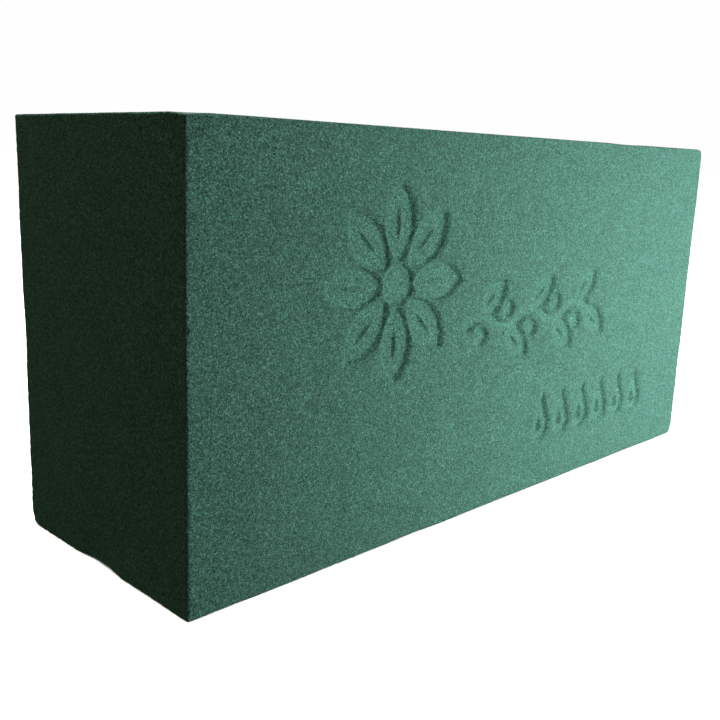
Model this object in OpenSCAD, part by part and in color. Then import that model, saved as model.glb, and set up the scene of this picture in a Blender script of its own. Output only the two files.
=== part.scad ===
// Floral foam brick: one block of stiff open-cell foam with a pressed flower, garland and drops.
// Millimetres, +Z up. The origin is the middle of the base, and the pressed face looks along -Y.

/* [Brick] */
// Length of the brick, along X
brick_length = 230; // [215:1:250]
// Depth of the brick, along Y
brick_depth = 75; // [60:1:100]
// Height of the brick, along Z
brick_height = 110; // [105:1:120]
// Radius of all twelve edges, where the foam has crumbled smooth
edge_radius = 0.8; // [0.5:0.1:2]

/* [Pressed marks] */
// How deep the marks are pressed into the front face
press_depth = 1.2; // [0.6:0.1:3]
// Width of the ridges of foam left standing between two marks
ridge_width = 1.4; // [1:0.1:2]

/* [Flower] */
// Middle of the flower from the brick's left end
flower_across = 65; // [55:1:66]
// Middle of the flower above the base
flower_up = 71; // [60:1:75]
// Radius of the flower over its petal tips
flower_radius = 25; // [22:1:26]
// Radius of the flower's round middle
flower_eye = 5; // [4:0.5:6]
// Number of petals
petal_count = 8; // [6:1:9]
// Greatest width of a petal
petal_width = 9.4; // [7:0.2:10]

/* [Garland] */
// Start of the garland from the brick's left end
garland_across = 95; // [94:1:100]
// Middle line of the garland above the base
garland_up = 57; // [50:1:60]
// Length of one bend of the waving stem
bend_length = 12.5; // [11:0.5:13]
// Number of bends
bend_count = 5; // [2:1:6]
// Rise of each bend above or below the middle line
bend_rise = 2.2; // [1.5:0.1:2.5]
// Width of the stem
stem_width = 2.4; // [1.6:0.1:2.6]
// Length of a leaf
leaf_length = 14; // [11:0.5:15]
// Greatest width of a leaf
leaf_width = 7; // [5:0.1:7.5]
// Lean of each leaf from the garland's line
leaf_lean = 42; // [35:1:50]
// Radius of a berry
berry_radius = 2.2; // [1.4:0.1:2.4]
// Distance from a berry's middle to the top of the bend that it sits under
berry_drop = 5.8; // [5.6:0.1:6.6]

/* [Water drops] */
// Middle of the first drop from the brick's left end
drops_across = 136; // [130:1:140]
// Middle of the drops' round ends above the base
drops_up = 20; // [16:1:22]
// Distance from one drop to the next
drop_pitch = 12; // [11:0.5:13]
// Number of drops
drop_count = 6; // [1:1:6]
// Radius of a drop's round end
drop_radius = 3.9; // [3:0.1:4.5]
// Height of a drop's point above the middle of its round end
drop_point = 9.5; // [8:0.5:11]
// Size of the foam left standing inside a drop, as a share of the drop
drop_core = 0.42; // [0.36:0.02:0.5]

/* [Hidden] */
$fn = 120;
foam_green = "#598B7C";
left_end = -brick_length / 2;
front_face = -brick_depth / 2;
past_face = 2;
petal_start = flower_eye + ridge_width;
petal_length = flower_radius - petal_start;
stem_radius = (bend_length * bend_length / 4 + bend_rise * bend_rise) / (2 * bend_rise);
stem_slope = asin(bend_length / (2 * stem_radius));

// A rectangle with round corners, about the origin
module round_rect(width, height, radius) {
    square([width, height - 2 * radius], center = true);
    square([width - 2 * radius, height], center = true);
    for (x = [-1, 1], y = [-1, 1])
        translate([x * (width / 2 - radius), y * (height / 2 - radius)]) circle(radius);
}

// A leaf shape between two arcs, pointed at the origin and at the far end of its length
module lens(length, width) {
    radius = (length * length + width * width) / (4 * width);
    intersection_for (side = [-1, 1])
        translate([length / 2, side * (radius - width / 2)]) circle(radius);
}

// A petal or leaf with a vein of foam left standing along its middle half
module veined_lens(length, width) {
    difference() {
        lens(length, width);
        translate([length / 4, 0]) lens(length / 2, ridge_width);
    }
}

// A ring of petals round a small disc
module flower_mark() {
    circle(flower_eye);
    for (i = [0 : petal_count - 1])
        rotate(90 + i * 360 / petal_count) translate([petal_start, 0]) veined_lens(petal_length, petal_width);
}

// One bend of the stem, an arc from the origin to the start of the next bend
module stem_bend() {
    translate([bend_length / 2, bend_rise - stem_radius]) intersection() {
        difference() {
            circle(stem_radius + stem_width / 2);
            circle(stem_radius - stem_width / 2);
        }
        polygon([
            [0, 0],
            [-bend_length, bend_length / tan(stem_slope)],
            [bend_length, bend_length / tan(stem_slope)],
        ]);
    }
}

// A waving stem with a leaf outside and a berry inside each bend, and one leaf at its end
module garland_mark() {
    circle(stem_width / 2);
    for (i = [0 : bend_count - 1])
        translate([i * bend_length, 0]) mirror([0, i % 2]) {
            stem_bend();
            translate([bend_length / 2, bend_rise]) rotate(leaf_lean) veined_lens(leaf_length, leaf_width);
            translate([bend_length / 2, bend_rise - berry_drop]) circle(berry_radius);
        }
    translate([bend_count * bend_length, 0]) mirror([0, (bend_count + 1) % 2]) {
        circle(stem_width / 2);
        rotate(-stem_slope) veined_lens(leaf_length, leaf_width);
    }
}

// A round end drawn out to a point along +Y
module drop(radius, point) {
    touch = acos(radius / point);
    circle(radius);
    polygon([
        [0, point],
        [-radius * sin(touch), radius * cos(touch)],
        [0, 0],
        [radius * sin(touch), radius * cos(touch)],
    ]);
}

// A drop with a smaller drop of foam left standing in it
module drop_mark() {
    difference() {
        drop(drop_radius, drop_point);
        drop(drop_radius * drop_core, drop_point * drop_core);
    }
}

// All the marks on the front face, measured from its lower left corner
module marks() {
    translate([flower_across, flower_up]) flower_mark();
    translate([garland_across, garland_up]) garland_mark();
    for (i = [0 : drop_count - 1])
        translate([drops_across + i * drop_pitch, drops_up]) drop_mark();
}

// The block with every edge rounded
module block() {
    intersection() {
        linear_extrude(brick_height) round_rect(brick_length, brick_depth, edge_radius);
        translate([0, brick_depth / 2, brick_height / 2]) rotate([90, 0, 0])
            linear_extrude(brick_depth) round_rect(brick_length, brick_height, edge_radius);
        translate([left_end, 0, brick_height / 2]) rotate([90, 0, 90])
            linear_extrude(brick_length) round_rect(brick_depth, brick_height, edge_radius);
    }
}

module foam_brick() {
    color(foam_green) difference() {
        block();
        translate([left_end, front_face + press_depth, 0]) rotate([90, 0, 0])
            linear_extrude(press_depth + past_face) marks();
    }
}

foam_brick();
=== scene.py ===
"""Floral foam brick: one block of stiff open-cell foam with a flower, a garland and drops pressed in.

The block is one fine mesh laid over the CAD solid. Python lays out its points, close together along the
edges, the pressed marks and the pits, and a Geometry Nodes tree gives it its shape: worn edges, marks,
crumbled corners and the slight waves that the saw leaves.
"""
import math

import bpy
import numpy as np
from mathutils import Matrix, Vector
from mathutils.geometry import delaunay_2d_cdt


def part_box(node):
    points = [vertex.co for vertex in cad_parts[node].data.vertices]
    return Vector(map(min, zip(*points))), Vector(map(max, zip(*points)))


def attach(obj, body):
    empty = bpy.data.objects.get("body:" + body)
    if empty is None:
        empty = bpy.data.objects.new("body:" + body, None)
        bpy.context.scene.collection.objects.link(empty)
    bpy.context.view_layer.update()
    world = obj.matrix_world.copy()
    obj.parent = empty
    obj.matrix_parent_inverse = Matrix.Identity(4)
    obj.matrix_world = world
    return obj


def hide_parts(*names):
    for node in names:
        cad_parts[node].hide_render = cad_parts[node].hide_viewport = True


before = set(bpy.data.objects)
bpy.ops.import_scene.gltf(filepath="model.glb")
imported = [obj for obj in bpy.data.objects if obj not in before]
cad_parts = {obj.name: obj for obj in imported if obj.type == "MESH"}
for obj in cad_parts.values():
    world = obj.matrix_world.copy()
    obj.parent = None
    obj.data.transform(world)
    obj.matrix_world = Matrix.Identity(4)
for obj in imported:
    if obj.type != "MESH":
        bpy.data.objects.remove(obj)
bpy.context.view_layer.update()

MM = 0.001
NODE = "foam_brick"
low, high = (np.array(corner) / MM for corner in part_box(NODE))
SIZE = high - low

# The pressed marks, in millimetres from the lower left corner of the front face, as in the CAD. SHOULDER is
# how far outside a mark's outline the foam is still dragged down.
PRESS_DEPTH = 1.2
SHOULDER = 2.4
RIDGE_WIDTH = 1.4
FLOWER_PLACE = (65.0, 71.0)
FLOWER_RADIUS = 25.0
FLOWER_EYE = 5.0
PETAL_COUNT = 8
PETAL_WIDTH = 9.4
GARLAND_PLACE = (95.0, 57.0)
BEND_LENGTH = 12.5
BEND_COUNT = 5
BEND_RISE = 2.2
STEM_WIDTH = 2.4
LEAF_LENGTH = 14.0
LEAF_WIDTH = 7.0
LEAF_LEAN = math.radians(42)
BERRY_RADIUS = 2.2
BERRY_DROP = 5.8
DROPS_PLACE = (136.0, 20.0)
DROP_PITCH = 12.0
DROP_COUNT = 6
DROP_RADIUS = 3.9
DROP_POINT = 9.5
DROP_CORE = 0.42

# The mesh, in millimetres. Its points lie on a square lattice, kept at every 1st, 2nd, 4th or 8th step. They
# are closest within EDGE_BAND of an edge, within MARK_BAND of a mark's outline and in the pits, and elsewhere
# the spacing wanted grows by GROWTH for each millimetre. FAR stands for a point with no mark near it.
STEP = 1 / 3
COARSEST = 3
EDGE_BAND = 0.9
MARK_BAND = (-0.5, 0.9)
GROWTH = 0.6
FAR = 99.0

# Pits where a large cell or a grain has broken out of the skin, with their radii in millimetres.
PIT_SEED = 7
PIT_COUNT = 40
PIT_RADIUS = (0.3, 0.55)

# Knocks on the edges, in millimetres: the middle of each in the part's frame, its reach and its depth.
KNOCKS = (
    ((-115, 1, 0), 12, 0.9),
    ((-115, 37.5, 52), 14, 0.2),
    ((-115, 37.5, 0), 4, 0.5),
    ((-115, -37.5, 110), 7, 0.6),
    ((-115, -37.5, 66), 1.4, 0.4),
    ((-40, -37.5, 0), 12, 0.25),
    ((60, -37.5, 110), 14, 0.2),
    ((115, 5, 110), 10, 0.6),
    ((20, 37.5, 110), 12, 0.5),
    ((115, 37.5, 20), 11, 0.6),
    ((115, -37.5, 0), 4, 0.35),
    ((115, -37.5, 110), 3.5, 0.4),
)

# The camera: its place in metres, its azimuth, elevation and roll in degrees, and its lens in millimetres.
CAMERA_PLACE = Vector((-0.2197, -0.1907, 0.1019))
VIEW_ANGLES = (-45.55, 12.55, 2.11)
LENS = 45.04

# Half the width of the floor, in metres.
FLOOR_REACH = 60.0

# The soft lights: name, place, target and size in metres, power in watts, and colour.
LIGHTS = (
    ("key_light", (0.205, -0.14, 0.05), (0.185, -0.0375, 0.055), (0.45, 0.2), 0.84, "#FDFEFF"),
    ("front_light", (0.45, -1.4, 0.45), (0, 0, 0.05), (0.5, 0.5), 2.5, "#FFFFFF"),
    ("left_light", (-0.48, 0.7, 0.5), (-0.115, 0, 0.06), (0.3, 0.3), 0.85, "#FFEED1"),
    ("top_light", (0.15, 0.15, 0.9), (0, 0.05, 0.1), (0.3, 0.3), 4.5, "#FFFFFF"),
    ("back_light", (0.45, 0.9, 0.35), (0, 0.0375, 0.06), (0.5, 0.4), 9.0, "#FFFFFF"),
)
# The light that falls on the floor alone: its direction, its strength and its spread in degrees.
FLOOR_LIGHT_AIM = (0.35, 0.35, -1)
FLOOR_LIGHT_STRENGTH = 4.2
FLOOR_LIGHT_SPREAD = 50
# The dim light of the room, as linear red, green and blue.
ROOM_LIGHT = (0.058, 0.050, 0.037)


# ---------------------------------------------------------------- pressed marks
def disc(x, z, middle_x, middle_z, radius):
    """Signed distance to a disc, below zero inside it."""
    return np.hypot(x - middle_x, z - middle_z) - radius


def lens(x, z, length, width):
    """Signed distance to a leaf shape between two arcs, pointed at the origin and at its far end."""
    radius = (length**2 + width**2) / (4 * width)
    offset = radius - width / 2
    return np.maximum(disc(x, z, length / 2, offset, radius), disc(x, z, length / 2, -offset, radius))


def veined_lens(x, z, length, width):
    """The same with a vein of foam left standing along its middle half."""
    return np.maximum(lens(x, z, length, width), -lens(x - length / 4, z, length / 2, RIDGE_WIDTH))


def turned(x, z, angle):
    """The point as seen from axes turned by the angle."""
    return math.cos(angle) * x + math.sin(angle) * z, math.cos(angle) * z - math.sin(angle) * x


def flower(x, z):
    """Petals with a standing vein, round a small disc."""
    start = FLOWER_EYE + RIDGE_WIDTH
    length = FLOWER_RADIUS - start
    found = disc(x, z, 0, 0, FLOWER_EYE)
    for i in range(PETAL_COUNT):
        u, v = turned(x, z, math.pi / 2 + i * 2 * math.pi / PETAL_COUNT)
        found = np.minimum(found, veined_lens(u - start, v, length, PETAL_WIDTH))
    return found


def garland(x, z):
    """A waving stem with a leaf outside and a berry inside each bend, and one leaf at its end."""
    radius = (BEND_LENGTH**2 / 4 + BEND_RISE**2) / (2 * BEND_RISE)
    slope = math.asin(BEND_LENGTH / 2 / radius)
    found = np.full(x.shape, FAR)
    for i in range(BEND_COUNT):
        u, v = x - (i + 0.5) * BEND_LENGTH, z if i % 2 == 0 else -z
        up = v + radius - BEND_RISE
        on_arc = np.abs(u) <= math.tan(slope) * up
        ends = np.hypot(np.abs(u) - BEND_LENGTH / 2, v)
        stem = np.where(on_arc, np.abs(np.hypot(u, up) - radius), ends) - STEM_WIDTH / 2
        leaf = veined_lens(*turned(u, v - BEND_RISE, LEAF_LEAN), LEAF_LENGTH, LEAF_WIDTH)
        berry = disc(u, v, 0, BEND_RISE - BERRY_DROP, BERRY_RADIUS)
        found = np.minimum.reduce([found, stem, leaf, berry])
    end_slope = -slope if BEND_COUNT % 2 else slope
    last = veined_lens(*turned(x - BEND_COUNT * BEND_LENGTH, z, end_slope), LEAF_LENGTH, LEAF_WIDTH)
    return np.minimum(found, last)


def drop(x, z):
    """A round end drawn out to a point."""
    touch = math.acos(DROP_RADIUS / DROP_POINT)
    side = np.abs(x) * math.sin(touch) + z * math.cos(touch) - DROP_RADIUS
    cone = np.maximum(side, DROP_RADIUS * math.cos(touch) - z)
    return np.minimum(disc(x, z, 0, 0, DROP_RADIUS), cone)


def marks(x, z):
    """Signed distance to the nearest mark, from the lower left corner of the front face."""
    found = flower(x - FLOWER_PLACE[0], z - FLOWER_PLACE[1])
    found = np.minimum(found, garland(x - GARLAND_PLACE[0], z - GARLAND_PLACE[1]))
    for i in range(DROP_COUNT):
        u, v = x - DROPS_PLACE[0] - i * DROP_PITCH, z - DROPS_PLACE[1]
        core = DROP_CORE * drop(u / DROP_CORE, v / DROP_CORE)
        found = np.minimum(found, np.maximum(drop(u, v), -core))
    return found


# ---------------------------------------------------------------- the block's points
# Each face: the axes that its two directions follow, the axis across it, and which end of that axis.
FACES = {
    "front": (0, 2, 1, 0),
    "back": (2, 0, 1, 1),
    "left": (2, 1, 0, 0),
    "right": (1, 2, 0, 1),
    "base": (1, 0, 2, 0),
    "top": (0, 1, 2, 1),
}


def scatter_pits():
    """Middles and radii of the pits, spread over the six faces by area. Millimetres from the low corner."""
    chance = np.random.default_rng(PIT_SEED)
    areas = np.array([SIZE[u] * SIZE[v] for u, v, _, _ in FACES.values()])
    middles = []
    for face in chance.choice(len(FACES), PIT_COUNT, p=areas / areas.sum()):
        u, v, across, end = list(FACES.values())[face]
        place = np.zeros(3)
        place[u], place[v] = chance.uniform(0, 1, 2) * SIZE[[u, v]]
        place[across] = end * SIZE[across]
        middles.append(place)
    return np.array(middles), chance.uniform(*PIT_RADIUS, PIT_COUNT)


def lay_face(name, pits, pit_radii):
    """Lattice points of one face and the triangles between them, as whole lattice steps in 3-D."""
    u, v, across, end = FACES[name]
    steps = np.rint(SIZE / STEP).astype(int)
    grid = np.stack(np.meshgrid(np.arange(steps[u] + 1), np.arange(steps[v] + 1), indexing="ij"), -1)
    place = grid.reshape(-1, 2) * STEP
    to_edge = np.minimum(place, SIZE[[u, v]] - place).min(1)
    wanted = STEP + GROWTH * np.maximum(0, to_edge - EDGE_BAND)
    if name == "front":
        mark = marks(place[:, 0], place[:, 1])
        past_wall = np.maximum.reduce([mark - MARK_BAND[1], MARK_BAND[0] - mark, 0 * mark])
        wanted = np.minimum(wanted, STEP + GROWTH * past_wall)
    for middle, radius in zip(pits, pit_radii):
        if abs(middle[across] - end * SIZE[across]) < STEP:
            away = np.hypot(place[:, 0] - middle[u], place[:, 1] - middle[v])
            wanted = np.minimum(wanted, STEP + GROWTH * np.maximum(0, away - radius))
    level = np.clip(np.floor(np.log2(wanted / STEP + 1e-6)), 0, COARSEST).astype(int)
    kept = ((grid.reshape(-1, 2) % (2**level)[:, None]) == 0).all(1) | (to_edge < STEP / 2)
    flat = grid.reshape(-1, 2)[kept]
    _, _, triangles, *_ = delaunay_2d_cdt([Vector(p) for p in flat.astype(float)], [], [], 0, 1e-5)
    triangles = np.array(triangles)
    a, b, c = (flat[triangles[:, i]] for i in range(3))
    turn = (b[:, 0] - a[:, 0]) * (c[:, 1] - a[:, 1]) - (b[:, 1] - a[:, 1]) * (c[:, 0] - a[:, 0])
    triangles = np.where((turn < 0)[:, None], triangles[:, ::-1], triangles)[turn != 0]
    corners = np.zeros((len(flat), 3), int)
    corners[:, [u, v]] = flat
    corners[:, across] = end * steps[across]
    return corners, triangles


def lay_block():
    """One closed mesh of the sharp-edged block, with what its shaping needs to know as attributes."""
    pits, pit_radii = scatter_pits()
    points, faces, count = [], [], 0
    for name in FACES:
        corners, triangles = lay_face(name, pits, pit_radii)
        points.append(corners)
        faces.append(triangles + count)
        count += len(corners)
    lattice, same = np.unique(np.concatenate(points), axis=0, return_inverse=True)
    triangles = same.reshape(-1)[np.concatenate(faces)]
    place = lattice * STEP
    inside = np.sort(np.minimum(place, SIZE - place), 1)
    mark = np.where(place[:, 1] < STEP / 2, marks(place[:, 0], place[:, 2]), FAR)
    pit = np.zeros(len(place))
    for middle, radius in zip(pits, pit_radii):
        away = np.linalg.norm(place - middle, axis=1) / radius
        pit = np.maximum(pit, radius * np.clip(1 - away**2, 0, 1))
    knock = np.zeros(len(place))
    for middle, reach, depth in KNOCKS:
        away = np.linalg.norm(place + low - middle, axis=1) / reach
        knock = np.maximum(knock, depth * np.clip(1 - away**2, 0, 1) ** 2)
    mesh = bpy.data.meshes.new(NODE)
    mesh.from_pydata((place + low) * MM, [], triangles)
    for name, values in (("mark", mark), ("to_edge", inside[:, 1]), ("pit", pit), ("knock", knock)):
        mesh.attributes.new(name, "FLOAT", "POINT").data.foreach_set("value", values * MM)
    return mesh


# ---------------------------------------------------------------- nodes
def add(tree, kind, inputs=None, **settings):
    """Adds a node with its settings, and sets its inputs to values or links them to other sockets."""
    made = tree.nodes.new(kind)
    for name, value in settings.items():
        setattr(made, name, value)
    for name, value in (inputs or {}).items():
        if isinstance(value, bpy.types.NodeSocket):
            tree.links.new(value, made.inputs[name])
        else:
            made.inputs[name].default_value = value
    return made


def colour(code):
    """Linear colour from an sRGB hex value."""
    parts = [int(code[i:i + 2], 16) / 255 for i in (1, 3, 5)]
    return (*[p / 12.92 if p <= 0.04045 else ((p + 0.055) / 1.055) ** 2.4 for p in parts], 1.0)


# What the shaping tree takes, in metres: the name of each input, its kind and its value.
SHAPING = {
    "Half Size": ("NodeSocketVector", tuple(SIZE / 2 * MM)),
    "Edge Radius": ("NodeSocketFloat", 0.6 * MM),
    "Press Depth": ("NodeSocketFloat", PRESS_DEPTH * MM),
    "Shoulder": ("NodeSocketFloat", SHOULDER * MM),
    "Wave Size": ("NodeSocketFloat", 26 * MM),
    "Wave Depth": ("NodeSocketFloat", 0.1 * MM),
    "Crumb Size": ("NodeSocketFloat", 1.1 * MM),
    "Crumb Depth": ("NodeSocketFloat", 0.13 * MM),
    "Crumb Reach": ("NodeSocketFloat", 1.3 * MM),
    "Seed": ("NodeSocketFloat", 3.0),
}


# The part of each noise that counts, and the share of the edge radius that the first one gives.
WANDER_SPAN = (0.35, 0.65)
WANDER_SHARE = (0.55, 1.5)
CRUMB_SPAN = (0.42, 0.7)


def shaping_tree(material):
    """Rounds the block's edges, presses the marks into it, and wears it."""
    tree = bpy.data.node_groups.new("shape_foam_brick", "GeometryNodeTree")
    tree.interface.new_socket("Geometry", in_out="INPUT", socket_type="NodeSocketGeometry")
    tree.interface.new_socket("Geometry", in_out="OUTPUT", socket_type="NodeSocketGeometry")
    for name, (kind, _) in SHAPING.items():
        tree.interface.new_socket(name, in_out="INPUT", socket_type=kind)
    given = add(tree, "NodeGroupInput").outputs
    math_node, vector_node = "ShaderNodeMath", "ShaderNodeVectorMath"

    def noise(size, detail, roughness):
        per_metre = add(tree, math_node, {0: 1.0, 1: size}, operation="DIVIDE").outputs[0]
        return add(tree, "ShaderNodeTexNoise", {
            "Vector": place, "W": given["Seed"], "Scale": per_metre, "Detail": detail,
            "Roughness": roughness}, noise_dimensions="4D").outputs[0]

    def attribute(name):
        return add(tree, "GeometryNodeInputNamedAttribute", {"Name": name}, data_type="FLOAT").outputs[0]

    place = add(tree, "GeometryNodeInputPosition").outputs[0]
    height = add(tree, "ShaderNodeSeparateXYZ", {0: given["Half Size"]}).outputs[2]
    middle = add(tree, "ShaderNodeCombineXYZ", {2: height}).outputs[0]
    local = add(tree, vector_node, {0: place, 1: middle}, operation="SUBTRACT").outputs[0]

    # The edge radius wanders, because some stretches of an edge have crumbled further than others.
    wander = add(tree, "ShaderNodeMapRange", {
        0: noise(given["Wave Size"], 2.0, 0.6), 1: WANDER_SPAN[0], 2: WANDER_SPAN[1],
        3: WANDER_SHARE[0], 4: WANDER_SHARE[1]}).outputs[0]
    radius = add(tree, math_node, {0: given["Edge Radius"], 1: wander}, operation="MULTIPLY").outputs[0]
    core = add(tree, vector_node, {0: given["Half Size"], 1: radius}, operation="SUBTRACT").outputs[0]
    below = add(tree, vector_node, {0: core, "Scale": -1.0}, operation="SCALE").outputs[0]
    capped = add(tree, vector_node, {0: local, 1: core}, operation="MINIMUM").outputs[0]
    inner = add(tree, vector_node, {0: capped, 1: below}, operation="MAXIMUM").outputs[0]
    outward = add(tree, vector_node, {0: local, 1: inner}, operation="SUBTRACT").outputs[0]
    outward = add(tree, vector_node, {0: outward}, operation="NORMALIZE").outputs[0]

    # The marks: full depth inside. The die drags the foam round a mark down into a wide rounded shoulder,
    # which is steepest at its foot.
    pressed = add(tree, "ShaderNodeMapRange", {
        0: attribute("mark"), 1: given["Shoulder"], 2: 0.0, 3: 0.0, 4: 1.0}).outputs[0]
    pressed = add(tree, math_node, {0: pressed, 1: 3.0}, operation="POWER").outputs[0]
    depth = add(tree, math_node, {0: given["Press Depth"], 1: pressed}, operation="MULTIPLY").outputs[0]

    # Crumbs lost along the edges.
    edge = add(tree, "ShaderNodeMapRange", {
        0: attribute("to_edge"), 1: given["Crumb Reach"], 2: 0.0, 3: 0.0, 4: 1.0},
        interpolation_type="SMOOTHSTEP").outputs[0]
    lost = add(tree, "ShaderNodeMapRange", {
        0: noise(given["Crumb Size"], 1.0, 0.5), 1: CRUMB_SPAN[0], 2: CRUMB_SPAN[1],
        3: 0.0, 4: 1.0}).outputs[0]
    lost = add(tree, math_node, {0: lost, 1: edge}, operation="MULTIPLY").outputs[0]

    depth = add(tree, math_node, {
        0: given["Crumb Depth"], 1: lost, 2: depth}, operation="MULTIPLY_ADD").outputs[0]
    depth = add(tree, math_node, {
        0: given["Wave Depth"], 1: noise(given["Wave Size"], 2.0, 0.5), 2: depth},
        operation="MULTIPLY_ADD").outputs[0]
    for name in ("pit", "knock"):
        depth = add(tree, math_node, {0: depth, 1: attribute(name)}, operation="ADD").outputs[0]

    reach = add(tree, math_node, {0: radius, 1: depth}, operation="SUBTRACT").outputs[0]
    skin = add(tree, vector_node, {0: outward, "Scale": reach}, operation="SCALE").outputs[0]
    skin = add(tree, vector_node, {0: skin, 1: inner}, operation="ADD").outputs[0]
    skin = add(tree, vector_node, {0: skin, 1: middle}, operation="ADD").outputs[0]
    made = add(tree, "GeometryNodeStoreNamedAttribute", {
        "Geometry": given["Geometry"], "Name": "pressed", "Value": pressed},
        data_type="FLOAT", domain="POINT").outputs[0]
    made = add(tree, "GeometryNodeSetPosition", {"Geometry": made, "Position": skin}).outputs[0]
    made = add(tree, "GeometryNodeSetShadeSmooth", {"Geometry": made}).outputs[0]
    made = add(tree, "GeometryNodeRealizeInstances", {"Geometry": made}).outputs[0]
    made = add(tree, "GeometryNodeSetMaterial", {"Geometry": made, "Material": material}).outputs[0]
    add(tree, "NodeGroupOutput", {"Geometry": made})
    return tree


# ---------------------------------------------------------------- phenolic foam
# Widths of a cell, a cluster of cells and a patch, and the depth of a cell's cup, in millimetres.
CELL = 0.25
CELL_DEPTH = 0.05
CLUSTER = 0.7
MOTTLE = 12.0
# How far the cells face away from the skin, as a share of its normal.
FACET_TILT = 1.0

# How light things are. The cells' shades run from the first point of the curve to the last, and average
# about a half, so the patches are about 2. Shades past the knee are painted glints, and the spread below
# it is partly the foam's own speckle and partly painted shade and light of the cell walls.
CELL_SHADES_AND_PAINTED_GLINTS = ((0.0, 0.25), (0.95, 0.72), (1.0, 1.0))
PATCH_LEVEL = (1.92, 2.08)
CLUSTER_LEVEL = (0.89, 1.11)
PATCHY_SPAN = (0.3, 0.7)
# The share of a mark's full depth at which the foam starts and ends turning paler, and how pale it gets.
CRUSHED_SPAN = (0.5, 0.95)
CRUSHED_LEVEL = 1.16


def phenolic_foam():
    """Phenolic wet foam, sawn. Its torn open cells give a dead matt, sandy skin. The stray bright rims on it
    are painted highlights.

    The cells are 0.1 to 0.3 mm across, and are drawn at 0.25 mm.
    """
    made = bpy.data.materials.new("phenolic_foam")
    made.use_nodes = True
    tree = made.node_tree
    tree.nodes.clear()
    place = add(tree, "ShaderNodeTexCoord").outputs["Object"]
    cells = add(tree, "ShaderNodeTexVoronoi", {"Vector": place, "Scale": 1 / (CELL * MM)}, feature="F1")
    mottle = add(tree, "ShaderNodeTexNoise", {
        "Vector": place, "Scale": 1 / (MOTTLE * MM), "Detail": 1.0}).outputs[0]
    clusters = add(tree, "ShaderNodeTexNoise", {
        "Vector": place, "Scale": 1 / (CLUSTER * MM), "Detail": 0.0}).outputs[0]
    chance = add(tree, "ShaderNodeTexWhiteNoise", {"Vector": cells.outputs["Position"]}).outputs["Value"]

    # Each cell has its own shade: partly the foam's speckle, partly painted shade and light of its walls, and
    # the few brightest are painted glints. Clusters of cells, and patches a centimetre wide, differ slightly.
    shade = add(tree, "ShaderNodeFloatCurve", {"Value": chance})
    curve = shade.mapping.curves[0]
    first, knee, last = CELL_SHADES_AND_PAINTED_GLINTS
    curve.points[0].location = first
    curve.points[1].location = last
    curve.points.new(*knee)
    shade.mapping.update()
    patch = add(tree, "ShaderNodeMapRange", {
        0: mottle, 1: PATCHY_SPAN[0], 2: PATCHY_SPAN[1], 3: PATCH_LEVEL[0], 4: PATCH_LEVEL[1]}).outputs[0]
    cluster = add(tree, "ShaderNodeMapRange", {
        0: clusters, 1: PATCHY_SPAN[0], 2: PATCHY_SPAN[1],
        3: CLUSTER_LEVEL[0], 4: CLUSTER_LEVEL[1]}).outputs[0]
    level = add(tree, "ShaderNodeMath", {0: shade.outputs[0], 1: patch}, operation="MULTIPLY").outputs[0]
    level = add(tree, "ShaderNodeMath", {0: level, 1: cluster}, operation="MULTIPLY").outputs[0]

    # Crushed foam on the floors of the marks is a little paler.
    pressed = add(tree, "ShaderNodeAttribute", attribute_name="pressed").outputs["Fac"]
    crushed = add(tree, "ShaderNodeMapRange", {
        0: pressed, 1: CRUSHED_SPAN[0], 2: CRUSHED_SPAN[1], 3: 1.0, 4: CRUSHED_LEVEL}).outputs[0]
    level = add(tree, "ShaderNodeMath", {0: level, 1: crushed}, operation="MULTIPLY").outputs[0]
    body = add(tree, "ShaderNodeVectorMath", {
        0: colour("#578F7E")[:3], "Scale": level}, operation="SCALE").outputs[0]

    # Every torn cell faces its own way, and is a shallow cup.
    tilt = add(tree, "ShaderNodeVectorMath", {
        0: cells.outputs["Color"], 1: (0.5, 0.5, 0.5)}, operation="SUBTRACT").outputs[0]
    normal = add(tree, "ShaderNodeNewGeometry").outputs["Normal"]
    facing = add(tree, "ShaderNodeVectorMath", {
        0: tilt, 1: (FACET_TILT,) * 3, 2: normal}, operation="MULTIPLY_ADD").outputs[0]
    facing = add(tree, "ShaderNodeVectorMath", {0: facing}, operation="NORMALIZE").outputs[0]
    bump = add(tree, "ShaderNodeBump", {
        "Height": cells.outputs["Distance"], "Distance": CELL_DEPTH * MM, "Normal": facing}).outputs[0]
    shader = add(tree, "ShaderNodeBsdfPrincipled", {
        "Base Color": body, "Roughness": 0.95, "IOR": 1.5, "Specular IOR Level": 0.35, "Normal": bump})
    add(tree, "ShaderNodeOutputMaterial", {"Surface": shader.outputs[0]})
    return made


def shape_block(material):
    """The finished brick: the block's mesh run through the shaping tree and made plain."""
    made = bpy.data.objects.new("floral_foam_brick", lay_block())
    bpy.context.scene.collection.objects.link(made)
    shaping = made.modifiers.new("shape", "NODES")
    shaping.node_group = shaping_tree(material)
    for item in shaping.node_group.interface.items_tree:
        if item.in_out == "INPUT" and item.name in SHAPING:
            shaping[item.identifier] = SHAPING[item.name][1]
    shaped = made.evaluated_get(bpy.context.evaluated_depsgraph_get())
    mesh = bpy.data.meshes.new_from_object(shaped)
    made.modifiers.clear()
    made.data = mesh
    return made


# ---------------------------------------------------------------- stage, light and camera
def matt(name, code):
    """A plain matt surface for the stage."""
    made = bpy.data.materials.new(name)
    made.use_nodes = True
    shader = made.node_tree.nodes["Principled BSDF"]
    shader.inputs["Base Color"].default_value = colour(code)
    shader.inputs["Roughness"].default_value = 0.9
    return made


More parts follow.
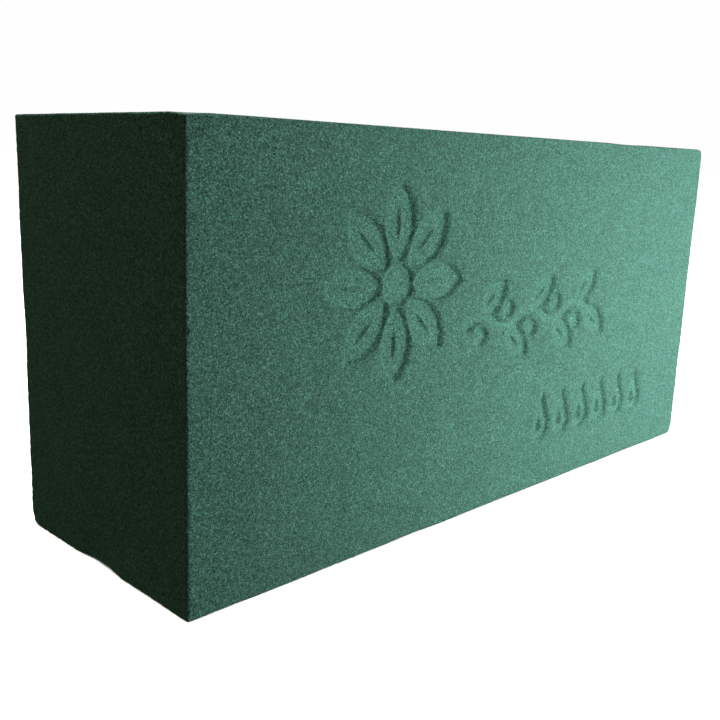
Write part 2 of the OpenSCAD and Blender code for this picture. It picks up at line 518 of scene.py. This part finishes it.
def lay_floor():
    """A wide pale floor. It throws no light back on the brick, so the shaded end stays dark."""
    mesh = bpy.data.meshes.new("floor")
    reach = FLOOR_REACH
    corners = [(-reach, -reach, 0), (reach, -reach, 0), (reach, reach, 0), (-reach, reach, 0)]
    mesh.from_pydata(corners, [], [(0, 1, 2, 3)])
    mesh.materials.append(matt("studio_floor", "#F7F7F6"))
    made = bpy.data.objects.new("studio_floor", mesh)
    bpy.context.scene.collection.objects.link(made)
    made.visible_diffuse = False
    made.visible_glossy = False
    made.visible_shadow = False
    return made


def area_light(name, place, target, size, power, code):
    """A soft rectangular light that looks at a point."""
    data = bpy.data.lights.new(name, "AREA")
    data.shape = "RECTANGLE"
    data.size, data.size_y = size
    data.energy = power
    data.color = colour(code)[:3]
    made = bpy.data.objects.new(name, data)
    made.location = place
    made.rotation_euler = (Vector(target) - Vector(place)).to_track_quat("-Z", "Y").to_euler()
    made.visible_camera = False
    bpy.context.scene.collection.objects.link(made)
    return made


def light_stage(floor):
    """A near soft light at the front right, further ones in front, at the left, above and behind, a light
    for the floor alone, a dim room, and a near-white backdrop that only the camera sees."""
    for light in LIGHTS:
        area_light(*light)
    sun = bpy.data.lights.new("floor_light", "SUN")
    sun.energy = FLOOR_LIGHT_STRENGTH
    sun.angle = math.radians(FLOOR_LIGHT_SPREAD)
    lamp = bpy.data.objects.new("floor_light", sun)
    lamp.rotation_euler = Vector(FLOOR_LIGHT_AIM).to_track_quat("-Z", "Y").to_euler()
    bpy.context.scene.collection.objects.link(lamp)
    only_floor = bpy.data.collections.new("floor_only")
    only_floor.objects.link(floor)
    lamp.light_linking.receiver_collection = only_floor
    world = bpy.data.worlds.new("studio")
    world.use_nodes = True
    tree = world.node_tree
    tree.nodes.clear()
    room = add(tree, "ShaderNodeBackground", {"Color": (*ROOM_LIGHT, 1.0), "Strength": 1.0})
    backdrop = add(tree, "ShaderNodeBackground", {"Color": colour("#FEFEFE"), "Strength": 1.0})
    seen = add(tree, "ShaderNodeLightPath").outputs["Is Camera Ray"]
    both = add(tree, "ShaderNodeMixShader", {0: seen, 1: room.outputs[0], 2: backdrop.outputs[0]})
    add(tree, "ShaderNodeOutputWorld", {"Surface": both.outputs[0]})
    bpy.context.scene.world = world


def set_camera():
    """Low at the front left, close enough for a strong perspective, and tilted a little."""
    data = bpy.data.cameras.new("camera")
    data.sensor_width = 36.0
    data.lens = LENS
    data.clip_start = 0.01
    data.clip_end = 200.0
    azimuth, elevation, roll = (math.radians(a) for a in VIEW_ANGLES)
    back = Vector((math.sin(azimuth) * math.cos(elevation), -math.cos(azimuth) * math.cos(elevation),
                   math.sin(elevation)))
    right = Vector((0, 0, 1)).cross(back).normalized()
    up = back.cross(right)
    turned_right = math.cos(roll) * right + math.sin(roll) * up
    turned_up = math.cos(roll) * up - math.sin(roll) * right
    made = bpy.data.objects.new("camera", data)
    made.matrix_world = Matrix.Translation(CAMERA_PLACE) @ Matrix(
        (turned_right, turned_up, back)).transposed().to_4x4()
    bpy.context.scene.collection.objects.link(made)
    bpy.context.scene.camera = made


set_camera()
floor = lay_floor()
light_stage(floor)
bpy.context.scene.view_settings.view_transform = "Standard"

brick = shape_block(phenolic_foam())
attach(brick, "root")
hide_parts(NODE)
